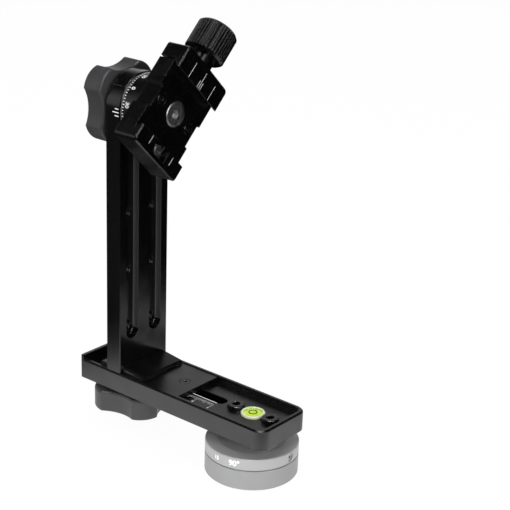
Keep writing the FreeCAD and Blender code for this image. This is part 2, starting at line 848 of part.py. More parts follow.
def clamp_base_blank():
    half = clamp_length / 2
    floor = box(clamp_back_x, clamp_floor_x, -half, half, fixed_end, base_end)
    jaw = extrude(jaw_section(fixed_lip, -1, fixed_end), vec(0, -half, 0), vec(0, clamp_length, 0))
    blank = round_outer_corners(floor.fuse(jaw).removeSplitter(), fixed_end)
    return soften_jaw_top(blank, fixed_lip, fixed_end)


def guide_pin_x():
    return (clamp_back_x + clamp_floor_x) / 2


def clamp_base():
    body = clamp_base_blank()
    half = clamp_length / 2
    for side in (-1, 1):
        notch = box(clamp_back_x - 1, clamp_floor_x + 1, half - side_notch_depth, half + 1,
                    side_notch_centre - side_notch_half_width, side_notch_centre + side_notch_half_width)
        body = body.cut(notch if side > 0 else notch.mirror(vec(0, 0, 0), vec(0, 1, 0)))
        pin_y = side * guide_pin_spacing / 2
        body = body.cut(rod(guide_pin_radius + running_fit, guide_pin_end - jaw_close_travel - clear_gap,
                            base_end + 1, guide_pin_x(), pin_y))
        screw_y = side * dial_screw_spacing / 2
        body = body.cut([rod_x(m3_cap_head_radius + clear_gap, dial_screw_seat_x(), jaw_top_x, screw_y),
                         rod_x(m3_radius + clear_gap, clamp_back_x - 1, clamp_floor_x, screw_y)])
    body = body.cut(rod(m6_radius + running_fit, lead_screw_end - jaw_close_travel - clear_gap,
                        base_end + 1, lead_screw_x))
    bolt_seat = facing_x(sunk_seat(m6_sunk, clamp_floor_thickness + 1))
    body = body.cut(moved(bolt_seat, clamp_floor_x - head_bolt_sink, 0, 0))
    pocket = box(clamp_floor_x - fixed_jaw_pocket_depth, jaw_top_x + 1, -fixed_jaw_pocket_width / 2,
                 fixed_jaw_pocket_width / 2, fixed_lip - fixed_jaw_pocket_reach, fixed_lip + 2)
    body = body.cut(pocket)
    floor = clamp_floor_x - fixed_jaw_pocket_depth
    body = body.cut(rod_x(m3_radius + thread_fit, floor - stop_screw_length - 0.2, floor + 1, 0,
                          stop_screw_w()))
    return on_head(single(body))


def stop_screw_w():
    return fixed_lip - fixed_jaw_pocket_reach / 2


def stop_screw():
    """Screw in the fixed jaw's pocket whose head stops a plate from sliding out."""
    floor = clamp_floor_x - fixed_jaw_pocket_depth
    screw = cap_screw(m3_cap, stop_screw_length)
    return on_head(moved(facing_x(screw), floor, 0, stop_screw_w()))


def dial_screw_seat_x():
    return clamp_floor_x - m3_cap_head_height - clear_gap


def dial_screws():
    seat = dial_screw_seat_x()
    screw = facing_x(cap_screw(m3_cap, seat - clamp_back_x + dial_screw_grip))
    return [on_head(moved(screw, seat, side * dial_screw_spacing / 2, 0)) for side in (-1, 1)]


def moving_jaw():
    half = clamp_length / 2
    start = moving_jaw_start
    wall = box(clamp_back_x, clamp_floor_x, -half, half, start, moving_end)
    lip = extrude(jaw_section(moving_lip, 1, moving_end), vec(0, -half, 0), vec(0, clamp_length, 0))
    body = round_outer_corners(wall.fuse(lip).removeSplitter(), moving_end)
    body = soften_jaw_top(body, moving_lip, moving_end)
    over_base = box(clamp_floor_x - 1, clamp_floor_x + running_fit, -half - 1, half + 1, moving_lip - 1,
                    start)
    body = body.cut(over_base)
    body = body.cut(rod(m6_radius + running_fit, moving_lip, moving_end + 1, lead_screw_x))
    clip_end = clip_start() + retaining_clip_thickness + clear_gap / 2
    body = body.cut(rod(retaining_clip_radius + clear_gap, moving_lip, clip_end, lead_screw_x))
    for side in (-1, 1):
        body = body.cut(rod(guide_pin_radius, start - 1, moving_end - guide_pin_cover, guide_pin_x(),
                            side * guide_pin_spacing / 2))
    return on_head(single(body))


def guide_pins():
    return [on_head(rod(guide_pin_radius, guide_pin_end, moving_end - guide_pin_cover - 0.05, guide_pin_x(),
                        side * guide_pin_spacing / 2)) for side in (-1, 1)]


def clip_start():
    return moving_jaw_start + clear_gap


def retaining_clip():
    """Snap ring in a groove of the lead screw, behind the moving jaw, so that the jaw follows the screw."""
    inner = m6_radius - retaining_clip_groove
    start = clip_start()
    ring = tube(inner, retaining_clip_radius, start, start + retaining_clip_thickness, lead_screw_x)
    opening = box(lead_screw_x - inner * 0.8, lead_screw_x + inner * 0.8, 0, retaining_clip_radius + 1,
                  moving_jaw_start, moving_end)
    return on_head(ring.cut(opening))


def lead_screw():
    shank = rod(m6_radius, lead_screw_end, jaw_knob_start + jaw_knob_length * 0.6, lead_screw_x)
    groove_cut = tube(m6_radius - retaining_clip_groove, m6_radius + 1, clip_start() - thread_fit,
                      clip_start() + retaining_clip_thickness + thread_fit, lead_screw_x)
    return on_head(shank.cut(groove_cut))


def jaw_knob():
    """Fluted cylinder with a collar that bears on the moving jaw."""
    end = jaw_knob_start + jaw_knob_length
    body = chamfered_disc(jaw_knob_radius, jaw_knob_start, end, jaw_knob_edge, jaw_knob_edge)
    flutes = []
    reach = jaw_knob_radius + jaw_knob_flute_depth
    for i in range(jaw_knob_flutes):
        angle = 2 * math.pi * i / jaw_knob_flutes
        flutes.append(rod(2 * jaw_knob_flute_depth, jaw_knob_start - 1, end + 1, reach * math.cos(angle),
                          reach * math.sin(angle)))
    body = body.cut(Part.makeCompound(flutes))
    body = body.fuse(rod(collar_radius, moving_end + collar_gap, jaw_knob_start + 1))
    body = body.cut(rod(m6_radius, moving_end, jaw_knob_start + jaw_knob_length * 0.6 + 0.05))
    body = body.cut(cone(collar_radius, collar_radius + 1.0, end - 0.6, end))
    return on_head(moved(single(body), lead_screw_x, 0, 0))


pieces = {
    "rotator_housing": rotator_housing,
    "tripod_thread_insert": tripod_insert,
    "pan_thrust_washer": thrust_washer,
    "pan_retaining_cap": pan_cap,
    "pan_retaining_screw": pan_screw,
    "pan_rotor": rotor,
    "detent_select_ring": select_ring,
    "detent_plunger_body": plunger_body,
    "detent_plunger_ball": plunger_ball,
    "detent_plunger_spring": plunger_spring,
    "lower_rail": lower_rail,
    "rail_screws": rail_screws,
    "level_cup": level_cup,
    "level_fluid": level_fluid,
    "level_lens": level_lens,
    "foot": foot,
    "guide_key": guide_key,
    "guide_key_screw": key_screw,
    "upright": upright,
    "upright_screws": upright_screws,
    "clamp_stud": clamp_stud,
    "lower_knob": lower_knob,
    "lower_knob_insert": lower_insert,
    "lower_knob_washer": lower_washer,
    "upper_knob": upper_knob,
    "upper_knob_insert": upper_insert,
    "upper_knob_washer": upper_washer,
    "tilt_dial": tilt_dial,
    "tilt_friction_washer": friction_washer,
    "head_bolt": head_bolt,
    "clamp_base": clamp_base,
    "dial_screws": dial_screws,
    "plate_stop_screw": stop_screw,
    "moving_jaw": moving_jaw,
    "guide_pins": guide_pins,
    "retaining_clip": retaining_clip,
    "lead_screw": lead_screw,
    "jaw_knob": jaw_knob,
}

os.makedirs("parts", exist_ok=True)
for node, build in pieces.items():
    shape = build()
    if isinstance(shape, list):
        shape = Part.makeCompound(shape)
    shape.exportStep("parts/" + node + ".step")
    size = shape.BoundBox
    print(node, len(shape.Solids), shape.isValid(), round(shape.Volume, 1),
          [round(v, 2) for v in (size.XMin, size.XMax, size.YMin, size.YMax, size.ZMin, size.ZMax)])
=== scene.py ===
import json
import math

import bmesh
import bpy
from mathutils import Matrix, Vector


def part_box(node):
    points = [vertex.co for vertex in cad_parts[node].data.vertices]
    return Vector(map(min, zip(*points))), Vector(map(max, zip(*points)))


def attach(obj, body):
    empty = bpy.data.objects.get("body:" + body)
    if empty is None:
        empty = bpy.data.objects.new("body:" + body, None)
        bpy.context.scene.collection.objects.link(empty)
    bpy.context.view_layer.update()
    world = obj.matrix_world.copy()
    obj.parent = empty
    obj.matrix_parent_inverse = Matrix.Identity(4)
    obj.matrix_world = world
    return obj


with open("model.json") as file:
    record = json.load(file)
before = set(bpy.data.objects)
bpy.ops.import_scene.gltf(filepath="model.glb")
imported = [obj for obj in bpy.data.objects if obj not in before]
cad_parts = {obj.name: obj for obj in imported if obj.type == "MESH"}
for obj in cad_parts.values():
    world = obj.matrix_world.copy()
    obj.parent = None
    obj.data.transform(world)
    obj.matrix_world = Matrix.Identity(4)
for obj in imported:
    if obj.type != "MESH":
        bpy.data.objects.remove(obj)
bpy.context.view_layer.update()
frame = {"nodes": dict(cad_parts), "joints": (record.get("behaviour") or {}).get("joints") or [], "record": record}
nodes = frame["nodes"]


mm = 0.001
print("frame loaded:", len(nodes), "nodes")


def joint(name):
    return next(j for j in frame["joints"] if j["name"] == name)


# places in metres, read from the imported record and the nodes' boxes; gaps between the real pieces in mm
gaps = {"dialStep": 0.5, "dialRear": 0.2, "slide": 0.1}
tiltZ = joint("tilt")["pos_m"][2]
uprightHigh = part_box("upright")[1]
headRadius = uprightHigh.y
dialRadius = headRadius - gaps["dialStep"] * mm
dialRearX = uprightHigh.x + gaps["dialRear"] * mm
ringLow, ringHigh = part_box("detent_select_ring")
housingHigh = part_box("rotator_housing")[1]
rotatorRadius = housingHigh.y
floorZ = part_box("foot")[0].z - gaps["slide"] * mm
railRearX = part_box("lower_rail")[0].x
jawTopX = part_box("clamp_base")[1].x
jawAxis = Vector(joint("jaw_slide")["axis"])
alongJaw = Vector((0, jawAxis.z, -jawAxis.y))


def linear(hexText):
    values = [int(hexText[i:i + 2], 16) / 255 for i in (1, 3, 5)]
    return tuple(v / 12.92 if v <= 0.04045 else ((v + 0.055) / 1.055) ** 2.4 for v in values) + (1.0,)


def shaded(hexText, share):
    return tuple(v * share for v in linear(hexText)[:3]) + (1.0,)


# node helpers
def addNode(tree, kind, settings=None, links=None):
    node = tree.nodes.new(kind)
    for key, value in (settings or {}).items():
        if isinstance(key, int) or key in node.inputs:
            node.inputs[key].default_value = value
        else:
            setattr(node, key, value)
    for key, source in (links or {}).items():
        tree.links.new(source, node.inputs[key])
    return node


def setOrLink(tree, socket, value):
    if isinstance(value, float):
        socket.default_value = value
    else:
        tree.links.new(value, socket)


def mathNode(tree, operation, first, second=0.0):
    node = addNode(tree, "ShaderNodeMath", {"operation": operation})
    setOrLink(tree, node.inputs[0], first)
    setOrLink(tree, node.inputs[1], second)
    return node.outputs[0]


def product(tree, first, *others):
    for other in others:
        first = mathNode(tree, "MULTIPLY", first, other)
    return first


def vectorNode(tree, operation, first, second=None):
    settings = {"operation": operation}
    if second is not None:
        settings[1] = second
    node = addNode(tree, "ShaderNodeVectorMath", settings, {0: first})
    return node.outputs["Value" if operation in ("LENGTH", "DOT_PRODUCT") else "Vector"]


def axesOf(tree, vector):
    return addNode(tree, "ShaderNodeSeparateXYZ", None, {"Vector": vector}).outputs


def noise(tree, vector, sizeMm, detail=2.0, roughness=0.5):
    node = addNode(tree, "ShaderNodeTexNoise",
                   {"Scale": 1 / (sizeMm * mm), "Detail": detail, "Roughness": roughness}, {"Vector": vector})
    return node.outputs["Fac"]


def ringNoise(tree, distance, scale, detail):
    # tool rings: the noise changes only with the distance, with so many features to the metre
    node = addNode(tree, "ShaderNodeTexNoise", {"noise_dimensions": "1D", "Scale": scale, "Detail": detail},
                   {"W": distance})
    return node.outputs["Fac"]


def remap(tree, source, low, high, fromLow=0.0, fromHigh=1.0):
    node = addNode(tree, "ShaderNodeMapRange",
                   {"From Min": fromLow, "From Max": fromHigh, "To Min": low, "To Max": high}, {"Value": source})
    return node.outputs["Result"]


def ramp(tree, source, low, high, span, origin=0.0):
    # the span is in mm from an origin in metres
    return remap(tree, source, low, high, origin + span[0] * mm, origin + span[1] * mm)


def blendColour(tree, factor, first, second):
    node = addNode(tree, "ShaderNodeMix", {"data_type": "RGBA"}, {"Factor": factor})
    node.inputs[6].default_value = first
    node.inputs[7].default_value = second
    return node.outputs[2]


def bumped(tree, height, strength, distanceMm, normal):
    node = addNode(tree, "ShaderNodeBump", {"Strength": strength, "Distance": distanceMm * mm},
                   {"Height": height, "Normal": normal})
    return node.outputs["Normal"]


def softEdges(tree, radiusMm):
    return addNode(tree, "ShaderNodeBevel", {"samples": 8, "Radius": radiusMm * mm}).outputs["Normal"]


def newMaterial(name, settings):
    material = bpy.data.materials.new(name)
    material.use_nodes = True
    tree = material.node_tree
    tree.nodes.clear()
    shader = addNode(tree, "ShaderNodeBsdfPrincipled", settings)
    addNode(tree, "ShaderNodeOutputMaterial", None, {"Surface": shader.outputs[0]})
    coordinates = addNode(tree, "ShaderNodeTexCoord").outputs["Object"]
    return material, tree, shader, coordinates


def dress(tree, shader, colour, roughness, normal=None):
    tree.links.new(colour, shader.inputs["Base Color"])
    tree.links.new(roughness, shader.inputs["Roughness"])
    if normal is not None:
        tree.links.new(normal, shader.inputs["Normal"])


# masks in mm: across from a groove's middle, and in depth from the upright's front face
grooveSpec = {"middle": 8.2, "nearInner": (3.1, 3.3), "nearOuter": (4.6, 5.0), "nearFront": (-0.6, -0.2),
              "nearFloor": (-4.6, -4.2), "wallInner": (4.3, 4.38), "wallOuter": (4.42, 4.5),
              "wallFront": (-0.15, -0.05), "shade": (-3.8, -1.6), "frontShare": 0.45}


def grooveMasks(tree, place):
    split = axesOf(tree, place)
    front = uprightHigh.x
    across = mathNode(tree, "ABSOLUTE", split["Y"])
    offset = mathNode(tree, "ABSOLUTE", mathNode(tree, "SUBTRACT", across, grooveSpec["middle"] * mm))
    # the first mask stays close to the walls, so that the threaded holes keep their own crisp rims
    near = product(tree, ramp(tree, split["X"], 1.0, 0.0, grooveSpec["nearFront"], front),
                   ramp(tree, split["X"], 0.0, 1.0, grooveSpec["nearFloor"], front),
                   ramp(tree, offset, 0.0, 1.0, grooveSpec["nearInner"]),
                   ramp(tree, offset, 1.0, 0.0, grooveSpec["nearOuter"]))
    # the second lies on the walls only and carries the painted highlight: brightest deep down and dimmer towards the
    # front
    wall = product(tree, ramp(tree, offset, 0.0, 1.0, grooveSpec["wallInner"]),
                   ramp(tree, offset, 1.0, 0.0, grooveSpec["wallOuter"]),
                   ramp(tree, split["X"], 1.0, 0.0, grooveSpec["wallFront"], front),
                   ramp(tree, split["X"], 1.0, grooveSpec["frontShare"], grooveSpec["shade"], front))
    return near, wall


# mask in mm: from the slot's middle, the channel floor, the origin and the rail's rear end
slotSpec = {"side": (3.6, 3.8), "top": (-0.3, 0.0), "front": (-17.0, -16.6), "rear": (3.2, 3.6)}


def slotMask(tree, place):
    split = axesOf(tree, place)
    return product(tree, ramp(tree, mathNode(tree, "ABSOLUTE", split["Y"]), 1.0, 0.0, slotSpec["side"]),
                   ramp(tree, split["Z"], 1.0, 0.0, slotSpec["top"], floorZ),
                   ramp(tree, split["X"], 1.0, 0.0, slotSpec["front"]),
                   ramp(tree, split["X"], 0.0, 1.0, slotSpec["rear"], railRearX))


# materials
def anodisedBlack(name, spec):
    # bead-blasted aluminium dyed black: near black inside, with a hard clear skin that mirrors the white floor
    material, tree, shader, place = newMaterial(name, {"Metallic": 0.0, "IOR": spec["ior"]})
    dye = noise(tree, place, 6.0, 3.0)
    colour = blendColour(tree, dye, linear(spec["dark"]), linear(spec["light"]))
    # the blast grain is about 0.1 mm; it is drawn coarser so that it shows
    grain = noise(tree, place, 0.35, 3.0, 0.6)
    patches = noise(tree, place, 9.0)
    edge = softEdges(tree, spec["edge"])
    if "groove" in spec:
        # the groove walls get a painted highlight: a lighter grey over the dye, standing in for the light their fillets
        # catch
        near, wall = grooveMasks(tree, place)
        wide = addNode(tree, "ShaderNodeMath", {"operation": "MULTIPLY_ADD", 1: spec["groove"] * mm,
                                                2: spec["edge"] * mm}, {0: near})
        tree.links.new(wide.outputs[0], edge.node.inputs["Radius"])
        paintedHighlightColour = blendColour(tree, wall, linear(spec["dark"]), linear(spec["wall"]))
        colour = addNode(tree, "ShaderNodeMix", {"data_type": "RGBA", "blend_type": "LIGHTEN", "Factor": 1.0},
                         {6: colour, 7: paintedHighlightColour}).outputs[2]
    if spec.get("slot"):
        # no light reaches down into the slot, so its walls mirror nothing
        tree.links.new(remap(tree, slotMask(tree, place), 0.5, 0.0), shader.inputs["Specular IOR Level"])
    rough = spec["roughness"]
    dress(tree, shader, colour, remap(tree, patches, rough - 0.04, rough + 0.05, 0.3, 0.7),
          bumped(tree, grain, 0.2, 0.02, edge))
    return material


def mouldedNylon(name, hexDark, hexLight):
    # glass-filled nylon with a spark-eroded mould grain: broad soft highlights over a dark grey body
    material, tree, shader, place = newMaterial(name, {"Metallic": 0.0})
    tone = noise(tree, place, 7.0, 3.0)
    grain = noise(tree, place, 0.5, 2.0, 0.7)
    dress(tree, shader, blendColour(tree, tone, linear(hexDark), linear(hexLight)),
          remap(tree, grain, 0.34, 0.5), bumped(tree, grain, 0.4, 0.03, softEdges(tree, 0.3)))
    return material


def turnedAluminium(name, hexText, roughness):
    # turned and clear anodised: fine tool rings that stretch the highlight across the turning direction
    material, tree, shader, place = newMaterial(name, {"Metallic": 0.35, "Anisotropic": 0.5})
    split = axesOf(tree, place)
    flat = addNode(tree, "ShaderNodeCombineXYZ", None, {"X": split["X"], "Y": split["Y"]}).outputs[0]
    profile = mathNode(tree, "ADD", vectorNode(tree, "LENGTH", flat), split["Z"])
    rings = ringNoise(tree, profile, 1800.0, 3.0)
    cloud = noise(tree, place, 8.0)
    tangent = addNode(tree, "ShaderNodeTangent", {"direction_type": "RADIAL", "axis": "Z"})
    tree.links.new(tangent.outputs[0], shader.inputs["Tangent"])
    dress(tree, shader, blendColour(tree, cloud, shaded(hexText, 0.93), linear(hexText)),
          remap(tree, rings, roughness - 0.05, roughness + 0.06), bumped(tree, rings, 0.12, 0.01, softEdges(tree, 0.2)))
    return material


def metal(name, spec):
    material, tree, shader, place = newMaterial(name, {"Metallic": 1.0})
    grain = noise(tree, place, spec["grain"], 3.0, 0.6)
    rough = spec["roughness"]
    dress(tree, shader, blendColour(tree, grain, shaded(spec["colour"], 0.85), linear(spec["colour"])),
          remap(tree, grain, rough - 0.06, rough + 0.08),
          bumped(tree, grain, spec["bump"], 0.02, softEdges(tree, spec["edge"])))
    return material


def boltHead(name, spec):
    # zinc plate over a forged head: mottled grey, turned rings, and a rounded rim that is bright on the lit side
    material, tree, shader, place = newMaterial(name, {"Metallic": 1.0})
    split = axesOf(tree, place)
    flat = addNode(tree, "ShaderNodeCombineXYZ", None,
                   {"Y": split["Y"], "Z": mathNode(tree, "SUBTRACT", split["Z"], float(tiltZ))}).outputs[0]
    radial = vectorNode(tree, "LENGTH", flat)
    blotch = noise(tree, place, 1.1, 3.0, 0.7)
    tone = blendColour(tree, remap(tree, blotch, 0.0, 1.0, 0.35, 0.65), linear(spec["dull"]), linear(spec["pale"]))
    dished = bumped(tree, ramp(tree, radial, 0.0, -1.0, spec["rim"]), 1.0, 1.0, softEdges(tree, 0.45))
    uneven = mathNode(tree, "ADD", ringNoise(tree, radial, 1500.0, 2.0), blotch)
    rough = spec["roughness"]
    dress(tree, shader, tone, remap(tree, blotch, rough - 0.1, rough + 0.1), bumped(tree, uneven, 0.5, 0.06, dished))
    return material


def plastic(name, hexText, roughness, speckMm=1.0):
    material, tree, shader, place = newMaterial(name, {"Metallic": 0.0})
    tone = noise(tree, place, speckMm)
    dress(tree, shader, blendColour(tree, tone, shaded(hexText, 0.92), linear(hexText)),
          remap(tree, tone, roughness - 0.02, roughness + 0.03))
    return material


def clearLens(name):
    # cast acrylic window: light goes straight through, with a mirror skin that strengthens at low angles
    material, tree, shader, place = newMaterial(name, {"Metallic": 1.0, "Base Color": (1, 1, 1, 1)})
    waves = noise(tree, place, 2.5, 1.0)
    tree.links.new(remap(tree, waves, 0.03, 0.07), shader.inputs["Roughness"])
    tree.links.new(softEdges(tree, 0.35), shader.inputs["Normal"])
    clear = addNode(tree, "ShaderNodeBsdfTransparent", {"Color": linear("#f4faea")}).outputs[0]
    facing = addNode(tree, "ShaderNodeLayerWeight", {"Blend": 0.5}).outputs["Facing"]
    share = remap(tree, mathNode(tree, "POWER", facing, 4.0), 0.03, 0.8)
    mixed = addNode(tree, "ShaderNodeMixShader", None, {0: share, 1: clear, 2: shader.outputs[0]})
    output = next(n for n in tree.nodes if n.type == "OUTPUT_MATERIAL")
    tree.links.new(mixed.outputs[0], output.inputs["Surface"])
    return material


blackAnodised = anodisedBlack("blackAnodised", {"dark": "#020202", "light": "#050505", "roughness": 0.26,
                                                "edge": 0.28, "ior": 1.7})
# the same skin over fine machined flutes: their edges are crisp and their flanks stay dark
flutedAnodised = anodisedBlack("flutedAnodised", {"dark": "#030303", "light": "#050505", "roughness": 0.2,
                                                  "edge": 0.06, "ior": 1.5})
# the upright's skin is a little glossier, so its face shows where the white floor begins and ends; its groove walls
# carry a painted highlight in a lighter grey
uprightAnodised = anodisedBlack("uprightAnodised", {"dark": "#040404", "light": "#060606", "roughness": 0.19,
                                                    "edge": 0.3, "ior": 1.7, "groove": 1.2, "wall": "#474747"})
# the rail and foot carry a thicker skin, which mirrors more and reads as dark grey
railAnodised = anodisedBlack("railAnodised", {"dark": "#030303", "light": "#060606", "roughness": 0.3,
                                              "edge": 0.1, "ior": 1.8, "slot": True})
knobNylon = mouldedNylon("knobNylon", "#38383a", "#404041")
clearAnodised = turnedAluminium("clearAnodised", "#a0a0a1", 0.42)
# the ring's band is turned a little smoother, and its colour is painted paler than the housing's: painted light that
# lifts the band out of the rail's shade
paintedLightAnodised = turnedAluminium("paintedLightAnodised", "#b3b3b4", 0.38)
# ground stainless steel: a plain bright grey with a short blurred reflection
brightSteel = metal("brightSteel", {"colour": "#b9b9ba", "roughness": 0.3, "grain": 0.4, "bump": 0.15, "edge": 0.15})
platedSteel = boltHead("platedSteel", {"pale": "#d6d6d4", "dull": "#9a9a99", "roughness": 0.42, "rim": (5.3, 6.5)})
# black oxide screws: dark metal that only shows as glints on its edges
blackSteel = metal("blackSteel", {"colour": "#606061", "roughness": 0.27, "grain": 0.5, "bump": 0.2, "edge": 0.45})
# the stop screw is plain steel gone dull: a soft grey patch without a glint
dullSteel = metal("dullSteel", {"colour": "#8d8d8c", "roughness": 0.45, "grain": 0.5, "bump": 0.3, "edge": 0.3})
# turned brass of bushes and key: warm yellow with a short highlight
brassMetal = metal("brassMetal", {"colour": "#c0a062", "roughness": 0.3, "grain": 0.4, "bump": 0.15, "edge": 0.15})
# filled acetal washers: an even waxy cream
acetal = plastic("acetal", "#cdc9be", 0.45)
# engraving filled with matt enamel, white on the scales and grey for the housing's dot
whiteFill = plastic("whiteFill", "#ffffff", 0.5, 0.4)
greyFill = plastic("greyFill", "#9d9d9d", 0.5, 0.4)
# level: a pale green-yellow moulded cup, with brighter spirit under the lens
levelGreen = plastic("levelGreen", "#f6fdd6", 0.2)
levelSpirit = plastic("levelSpirit", "#fbff62", 0.12)
# the spirit is given a faint glow: painted light that keeps it bright below the rim of its cup, where the cup shades it
spiritShader = next(node for node in levelSpirit.node_tree.nodes if node.type == "BSDF_PRINCIPLED")
spiritShader.inputs["Emission Color"].default_value = linear("#e8ff3c")
spiritShader.inputs["Emission Strength"].default_value = 0.3
levelAcrylic = clearLens("levelAcrylic")
# the ring printed under the lens: olive ink
levelInk = plastic("levelInk", "#6c7a1c", 0.4)

nodeMaterials = {
    "rotator_housing": clearAnodised, "tripod_thread_insert": brightSteel, "pan_thrust_washer": acetal,
    "pan_retaining_cap": brightSteel, "pan_retaining_screw": blackSteel, "pan_rotor": clearAnodised,
    "detent_select_ring": paintedLightAnodised, "detent_plunger_body": brightSteel, "detent_plunger_ball": brightSteel,
    "detent_plunger_spring": brightSteel, "lower_rail": railAnodised, "rail_screws": blackSteel,
    "level_cup": levelGreen, "level_fluid": levelSpirit, "level_lens": levelAcrylic, "foot": railAnodised,
    "guide_key": brassMetal, "guide_key_screw": blackSteel, "upright": uprightAnodised,
    "upright_screws": blackSteel, "clamp_stud": brightSteel, "lower_knob": knobNylon,
    "lower_knob_insert": brassMetal, "lower_knob_washer": brightSteel, "upper_knob": knobNylon,
    "upper_knob_insert": brassMetal, "upper_knob_washer": brightSteel, "tilt_dial": blackAnodised,
    "tilt_friction_washer": acetal, "head_bolt": platedSteel, "clamp_base": blackAnodised,
    "dial_screws": blackSteel, "plate_stop_screw": dullSteel, "moving_jaw": blackAnodised,
    "guide_pins": brightSteel, "retaining_clip": blackSteel, "lead_screw": brightSteel, "jaw_knob": flutedAnodised,
}
for name, node in nodes.items():
    node.data.materials.clear()
    node.data.materials.append(nodeMaterials[name])
print("materials:", len(bpy.data.materials))


# painted marks: flat shapes laid on a surface and sunk a little into it
def glyphPolygons(text, height):
    curve = bpy.data.curves.new("glyphs", "FONT")
    curve.body = text
    curve.resolution_u = 4
    # a slightly bolder stroke, as the engraving cutter leaves
    curve.offset = 0.035
    holder = bpy.data.objects.new("glyphs", curve)
    bpy.context.scene.collection.objects.link(holder)
    graph = bpy.context.evaluated_depsgraph_get()
    mesh = bpy.data.meshes.new_from_object(holder.evaluated_get(graph))
    points = [Vector((v.co.x, v.co.y)) for v in mesh.vertices]
    polygons = [[points[i] for i in p.vertices] for p in mesh.polygons]
    bpy.data.objects.remove(holder)
    bpy.data.curves.remove(curve)
    bpy.data.meshes.remove(mesh)
    capHeight = 0.7
    size = height / capHeight
    low = min(p.x for p in points)
    high = max(p.x for p in points)
    centre = Vector(((low + high) / 2, capHeight / 2))
    return [[(p - centre) * size for p in polygon] for polygon in polygons]


def barPolygon(u0, u1, v0, v1):
    return [Vector((u0, v0)), Vector((u1, v0)), Vector((u1, v1)), Vector((u0, v1))]


def shifted(polygons, u, v):
    return [[p + Vector((u, v)) for p in polygon] for polygon in polygons]


def paintMark(spec, polygons, place):
    # polygons are in mm on the unrolled surface; place(u, v, h) gives the point in metres, h above the surface
    shape = bmesh.new()
    for polygon in polygons:
        shape.faces.new([shape.verts.new((p.x, p.y, 0)) for p in polygon])
    bmesh.ops.remove_doubles(shape, verts=shape.verts, dist=1e-4)
    step = spec.get("wrapStep")
    if step:
        low = min(v.co.x for v in shape.verts)
        high = max(v.co.x for v in shape.verts)
        for i in range(1, int((high - low) / step) + 1):
            cut = low + i * step
            bmesh.ops.bisect_plane(shape, geom=shape.verts[:] + shape.edges[:] + shape.faces[:],
                                   plane_co=(cut, 0, 0), plane_no=(1, 0, 0))
    raised = bmesh.ops.extrude_face_region(shape, geom=shape.faces[:])
    for v in raised["geom"]:
        if isinstance(v, bmesh.types.BMVert):
            v.co.z += spec["sink"] + spec["proud"]
    for v in shape.verts:
        v.co = place(v.co.x, v.co.y, v.co.z - spec["sink"])
    bmesh.ops.recalc_face_normals(shape, faces=shape.faces[:])
    return finishMesh(spec, shape)


def finishMesh(spec, shape, smooth=False):
    mesh = bpy.data.meshes.new(spec["name"])
    shape.to_mesh(mesh)
    shape.free()
    mesh.materials.append(spec["material"])
    for face in mesh.polygons:
        face.use_smooth = smooth
    piece = bpy.data.objects.new(spec["name"], mesh)
    bpy.context.scene.collection.objects.link(piece)
    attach(piece, spec["body"])
    return piece


# rotator ring: stop angles, each as text, place in degrees and height
ringSpec = {"name": "rotatorNumbers", "body": "detent_ring", "slot": "clear_anodised", "material": whiteFill,
            "sink": 0.03, "proud": 0.015, "wrapStep": 0.4, "lift": 0.2,
            "numbers": [("90°", 287.6, 2.8), ("15", 262.8, 2.0), ("30", 213.2, 2.0), ("45", 188.4, 2.0),
                        ("60", 163.6, 2.0)]}


def onRotator(u, v, h):
    radius = rotatorRadius + h * mm
    angle = u * mm / rotatorRadius
    return Vector((radius * math.cos(angle), radius * math.sin(angle), v * mm))


def unrolled(degrees):
    return math.radians(degrees) * rotatorRadius / mm


ringMiddle = (ringLow.z + ringHigh.z) / 2 / mm
shapes = []
for text, degrees, height in ringSpec["numbers"]:
    shapes += shifted(glyphPolygons(text, height), unrolled(degrees), ringMiddle + ringSpec["lift"])
paintMark(ringSpec, shapes, onRotator)

dotSpec = {"name": "rotatorIndex", "body": "base", "slot": "clear_anodised", "material": greyFill,
           "sink": 0.03, "proud": 0.012, "wrapStep": 0.4, "degrees": 288.9, "radius": 0.35, "below": 0.7}
dot = [Vector((math.cos(i * math.pi / 8), math.sin(i * math.pi / 8))) * dotSpec["radius"] for i in range(16)]
paintMark(dotSpec, shifted([dot], unrolled(dotSpec["degrees"]), housingHigh.z / mm - dotSpec["below"]), onRotator)
print("rotator marks")

# tilt scale on the dial's drum: ticks every 5 degrees, numbers every 30, and the seam line at the drum's rear
dialSpec = {"name": "tiltScale", "body": "tilt_head", "slot": "black_anodised", "material": whiteFill,
            "sink": 0.03, "proud": 0.015, "wrapStep": 0.4, "line": 0.46, "zero": 135.0, "step": 5, "start": 0.7,
            "short": 0.85, "long": 1.3, "digits": 2.1, "digitGap": 1.7, "seam": (0.12, 0.19)}


def onDial(u, v, h):
    radius = dialRadius + h * mm
    angle = u * mm / dialRadius
    return Vector((dialRearX + v * mm, radius * math.cos(angle), tiltZ + radius * math.sin(angle)))


def dialUnrolled(degrees):
    return math.radians(degrees) * dialRadius / mm


shapes = []
half = dialSpec["line"] / 2
for degrees in range(-180, 180, dialSpec["step"]):
    reach = dialSpec["long"] if degrees % 30 == 0 else dialSpec["short"]
    u = dialUnrolled(dialSpec["zero"] + degrees)
    shapes.append(barPolygon(u - half, u + half, dialSpec["start"], dialSpec["start"] + reach))
digitPlace = dialSpec["start"] + dialSpec["long"] + dialSpec["digitGap"]
for degrees in range(-150, 181, 30):
    shown = abs(degrees) if abs(degrees) <= 90 else 180 - abs(degrees)
    u = dialUnrolled(dialSpec["zero"] + degrees)
    shapes += shifted(glyphPolygons(str(shown), dialSpec["digits"]), u, digitPlace)
shapes.append(barPolygon(dialUnrolled(0), dialUnrolled(360), *dialSpec["seam"]))
paintMark(dialSpec, shapes, onDial)

